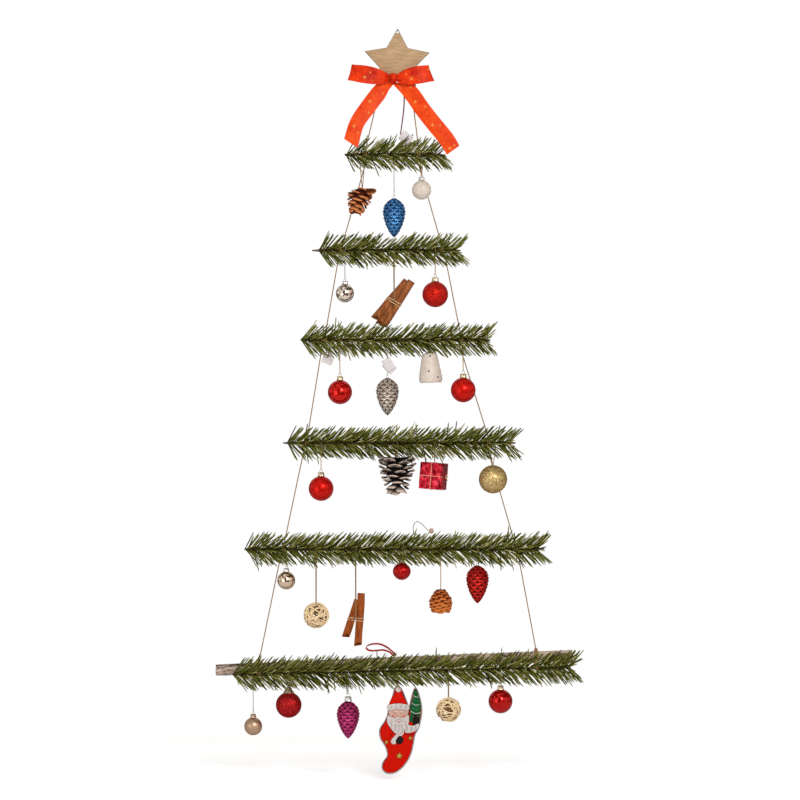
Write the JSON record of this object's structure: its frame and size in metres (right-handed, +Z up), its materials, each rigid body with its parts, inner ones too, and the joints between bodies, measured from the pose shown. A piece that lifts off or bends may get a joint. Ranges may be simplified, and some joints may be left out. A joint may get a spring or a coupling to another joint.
{
  "type": "wall christmas tree",
  "caption": "Hanging ladder of evergreen garland rungs on twine legs, widening downwards, with a wooden star, a ribbon bow and mixed hanging ornaments.",
  "frame": {"origin": "hanging hole of the star, on the star's back face", "axes": "+Z up, -Y towards the viewer, +X to the viewer's right"},
  "size_m": [0.5892, 0.0621, 1.1909],
  "materials": {
    "bark": "pale bark",
    "bell": "matt white",
    "blue_glitter": "glitter",
    "champagne": "pearl",
    "cinnamon": "bark quills",
    "cone_scales": "dry scales",
    "foil": "crinkled foil",
    "gold": "glitter",
    "magenta_glitter": "glitter",
    "needles": "fine film needles on a dark wire",
    "painted_wood": "painted",
    "paper": "matt",
    "plywood": "bare birch plywood",
    "rattan": "bare rattan",
    "red_glitter": "glitter",
    "red_matte": "satin matt",
    "red_shiny": "gloss",
    "ribbon": "satin",
    "satin_cord": "narrow satin ribbon",
    "silver": "mirror",
    "silver_glitter": "glitter",
    "twig": "thin bark",
    "twine": "jute, twisted",
    "white_glitter": "glitter"
  },
  "bodies": {
    "root": {"star": "plywood", "bow_knot": "ribbon", "bow_loop_left": "ribbon", "bow_loop_right": "ribbon"},
    "bow_tails": {"bow_tail_left": "ribbon", "bow_tail_right": "ribbon", "tag_string": "paper"},
    "rung_1": {"stick_1": "twig", "garland_1": "needles", "twine_left_1": "twine", "twine_right_1": "twine"},
    "rung_2": {"stick_2": "twig", "garland_2": "needles", "twine_left_2": "twine", "twine_right_2": "twine"},
    "rung_3": {"stick_3": "twig", "garland_3": "needles", "twine_left_3": "twine", "twine_right_3": "twine"},
    "rung_4": {"stick_4": "twig", "garland_4": "needles", "twine_left_4": "twine", "twine_right_4": "twine", "paper_tag": "paper"},
    "rung_5": {"stick_5": "twig", "garland_5": "needles", "twine_left_5": "twine", "twine_right_5": "twine", "string_loop": "twine"},
    "rung_6": {"stick_6": "bark", "garland_6": "needles", "twine_left_6": "twine", "twine_right_6": "twine", "satin_loop": "satin_cord"},
    "hang_pinecone_small": {"pinecone_small": "cone_scales"},
    "hang_cone_blue": {"cone_blue": "blue_glitter"},
    "hang_bauble_white": {"bauble_white": "white_glitter"},
    "hang_bauble_silver_upper": {"bauble_silver_upper": "silver"},
    "hang_cinnamon_bundle": {"cinnamon_bundle": "cinnamon"},
    "hang_bauble_red_glitter": {"bauble_red_glitter": "red_glitter"},
    "hang_bauble_red_shiny": {"bauble_red_shiny": "red_shiny"},
    "hang_cone_silver": {"cone_silver": "silver_glitter"},
    "hang_bell_white": {"bell_white": "bell"},
    "hang_bauble_red_matte": {"bauble_red_matte": "red_matte"},
    "hang_bauble_red_lower": {"bauble_red_lower": "red_matte"},
    "hang_pinecone_large": {"pinecone_large": "cone_scales"},
    "hang_gift_box": {"gift_box": "foil"},
    "hang_bauble_gold": {"bauble_gold": "gold"},
    "hang_bauble_silver_lower": {"bauble_silver_lower": "silver"},
    "hang_rattan_ball_upper": {"rattan_ball_upper": "rattan"},
    "hang_cinnamon_pair": {"cinnamon_pair": "cinnamon"},
    "hang_bauble_ribbed": {"bauble_ribbed": "red_shiny"},
    "hang_pinecone_orange": {"pinecone_orange": "cone_scales"},
    "hang_cone_red": {"cone_red": "red_glitter"},
    "hang_bauble_champagne": {"bauble_champagne": "champagne"},
    "hang_bauble_dark_red": {"bauble_dark_red": "red_glitter"},
    "hang_cone_magenta": {"cone_magenta": "magenta_glitter"},
    "hang_wooden_figure": {"wooden_figure": "painted_wood"},
    "hang_rattan_ball_lower": {"rattan_ball_lower": "rattan"},
    "hang_bauble_red_end": {"bauble_red_end": "red_shiny"}
  },
  "joints": [
    {"name": "rung_1_swing", "type": "hinge", "parent": "root", "child": "rung_1", "pos_m": [0, 0.0021, -0.0905], "axis": [-1, 0, 0], "range_deg": [0, 35]},
    {"name": "rung_2_swing", "type": "hinge", "parent": "rung_1", "child": "rung_2", "pos_m": [0, -0.011, -0.1976], "axis": [-1, 0, 0], "range_deg": [0, 35]},
    {"name": "rung_3_swing", "type": "hinge", "parent": "rung_2", "child": "rung_3", "pos_m": [0, -0.011, -0.3504], "axis": [-1, 0, 0], "range_deg": [0, 35]},
    {"name": "rung_4_swing", "type": "hinge", "parent": "rung_3", "child": "rung_4", "pos_m": [0, -0.011, -0.4936], "axis": [-1, 0, 0], "range_deg": [0, 35]},
    {"name": "rung_5_swing", "type": "hinge", "parent": "rung_4", "child": "rung_5", "pos_m": [0, -0.011, -0.6584], "axis": [-1, 0, 0], "range_deg": [0, 35]},
    {"name": "rung_6_swing", "type": "hinge", "parent": "rung_5", "child": "rung_6", "pos_m": [0, -0.011, -0.828], "axis": [-1, 0, 0], "range_deg": [0, 35]},
    {"name": "bow_tails_lift", "type": "hinge", "parent": "root", "child": "bow_tails", "pos_m": [-0.007, -0.0085, -0.08355], "axis": [-1, 0, 0], "range_deg": [0, 35]},
    {"name": "pinecone_small_swing", "type": "hinge", "parent": "rung_2", "child": "hang_pinecone_small", "pos_m": [-0.05635, -0.011, -0.1976], "axis": [-1, 0, 0], "range_deg": [0, 30]},
    {"name": "cone_blue_swing", "type": "hinge", "parent": "rung_1", "child": "hang_cone_blue", "pos_m": [-0.00536, -0.0189, -0.1976], "axis": [-1, 0, 0], "range_deg": [0, 60]},
    {"name": "bauble_white_swing", "type": "hinge", "parent": "rung_2", "child": "hang_bauble_white", "pos_m": [0.03842, -0.011, -0.1976], "axis": [-1, 0, 0], "range_deg": [0, 30]},
    {"name": "bauble_silver_upper_swing", "type": "hinge", "parent": "rung_2", "child": "hang_bauble_silver_upper", "pos_m": [-0.08395, -0.0189, -0.3504], "axis": [-1, 0, 0], "range_deg": [0, 60]},
    {"name": "cinnamon_bundle_swing", "type": "hinge", "parent": "rung_2", "child": "hang_cinnamon_bundle", "pos_m": [-0.0057, -0.0189, -0.3504], "axis": [-1, 0, 0], "range_deg": [0, 60]},
    {"name": "bauble_red_glitter_swing", "type": "hinge", "parent": "rung_2", "child": "hang_bauble_red_glitter", "pos_m": [0.06028, -0.0189, -0.3504], "axis": [-1, 0, 0], "range_deg": [0, 60]},
    {"name": "bauble_red_shiny_swing", "type": "hinge", "parent": "rung_3", "child": "hang_bauble_red_shiny", "pos_m": [-0.09199, -0.0189, -0.4936], "axis": [-1, 0, 0], "range_deg": [0, 60]},
    {"name": "cone_silver_swing", "type": "hinge", "parent": "rung_3", "child": "hang_cone_silver", "pos_m": [-0.01603, -0.0189, -0.4936], "axis": [-1, 0, 0], "range_deg": [0, 60]},
    {"name": "bell_white_swing", "type": "hinge", "parent": "rung_3", "child": "hang_bell_white", "pos_m": [0.05109, -0.0189, -0.4936], "axis": [-1, 0, 0], "range_deg": [0, 60]},
    {"name": "bauble_red_matte_swing", "type": "hinge", "parent": "rung_4", "child": "hang_bauble_red_matte", "pos_m": [0.10467, -0.011, -0.4936], "axis": [-1, 0, 0], "range_deg": [0, 30]},
    {"name": "bauble_red_lower_swing", "type": "hinge", "parent": "rung_4", "child": "hang_bauble_red_lower", "pos_m": [-0.1221, -0.0189, -0.6584], "axis": [-1, 0, 0], "range_deg": [0, 60]},
    {"name": "pinecone_large_swing", "type": "hinge", "parent": "rung_4", "child": "hang_pinecone_large", "pos_m": [-0.00062, -0.0189, -0.6584], "axis": [-1, 0, 0], "range_deg": [0, 60]},
    {"name": "gift_box_swing", "type": "hinge", "parent": "rung_4", "child": "hang_gift_box", "pos_m": [0.05905, -0.0189, -0.6584], "axis": [-1, 0, 0], "range_deg": [0, 60]},
    {"name": "bauble_gold_swing", "type": "hinge", "parent": "rung_5", "child": "hang_bauble_gold", "pos_m": [0.15212, -0.011, -0.6584], "axis": [-1, 0, 0], "range_deg": [0, 30]},
    {"name": "bauble_silver_lower_swing", "type": "hinge", "parent": "rung_6", "child": "hang_bauble_silver_lower", "pos_m": [-0.17743, -0.011, -0.828], "axis": [-1, 0, 0], "range_deg": [0, 30]},
    {"name": "rattan_ball_upper_swing", "type": "hinge", "parent": "rung_5", "child": "hang_rattan_ball_upper", "pos_m": [-0.13008, -0.0189, -0.828], "axis": [-1, 0, 0], "range_deg": [0, 60]},
    {"name": "cinnamon_pair_swing", "type": "hinge", "parent": "rung_5", "child": "hang_cinnamon_pair", "pos_m": [-0.06679, -0.0189, -0.828], "axis": [-1, 0, 0], "range_deg": [0, 60]},
    {"name": "bauble_ribbed_swing", "type": "hinge", "parent": "rung_5", "child": "hang_bauble_ribbed", "pos_m": [0.00681, -0.0189, -0.828], "axis": [-1, 0, 0], "range_deg": [0, 60]},
    {"name": "pinecone_orange_swing", "type": "hinge", "parent": "rung_5", "child": "hang_pinecone_orange", "pos_m": [0.06916, -0.0189, -0.828], "axis": [-1, 0, 0], "range_deg": [0, 60]},
    {"name": "cone_red_swing", "type": "hinge", "parent": "rung_5", "child": "hang_cone_red", "pos_m": [0.12776, -0.0189, -0.828], "axis": [-1, 0, 0], "range_deg": [0, 60]},
    {"name": "bauble_champagne_swing", "type": "hinge", "parent": "rung_6", "child": "hang_bauble_champagne", "pos_m": [-0.23031, -0.0235, -1.0267], "axis": [-1, 0, 0], "range_deg": [0, 60]},
    {"name": "bauble_dark_red_swing", "type": "hinge", "parent": "rung_6", "child": "hang_bauble_dark_red", "pos_m": [-0.17369, -0.0235, -1.0255], "axis": [-1, 0, 0], "range_deg": [0, 60]},
    {"name": "cone_magenta_swing", "type": "hinge", "parent": "rung_6", "child": "hang_cone_magenta", "pos_m": [-0.07879, -0.0235, -1.02349], "axis": [-1, 0, 0], "range_deg": [0, 60]},
    {"name": "wooden_figure_swing", "type": "hinge", "parent": "rung_6", "child": "hang_wooden_figure", "pos_m": [0.00047, -0.0235, -1.02181], "axis": [-1, 0, 0], "range_deg": [0, 60]},
    {"name": "rattan_ball_lower_swing", "type": "hinge", "parent": "rung_6", "child": "hang_rattan_ball_lower", "pos_m": [0.08135, -0.0235, -1.0201], "axis": [-1, 0, 0], "range_deg": [0, 60]},
    {"name": "bauble_red_end_swing", "type": "hinge", "parent": "rung_6", "child": "hang_bauble_red_end", "pos_m": [0.16439, -0.0235, -1.01834], "axis": [-1, 0, 0], "range_deg": [0, 60]}
  ],
  "couplings": [
    {"joint": "bow_tails_lift", "follows": "rung_1_swing", "ratio": 1}
  ]
}
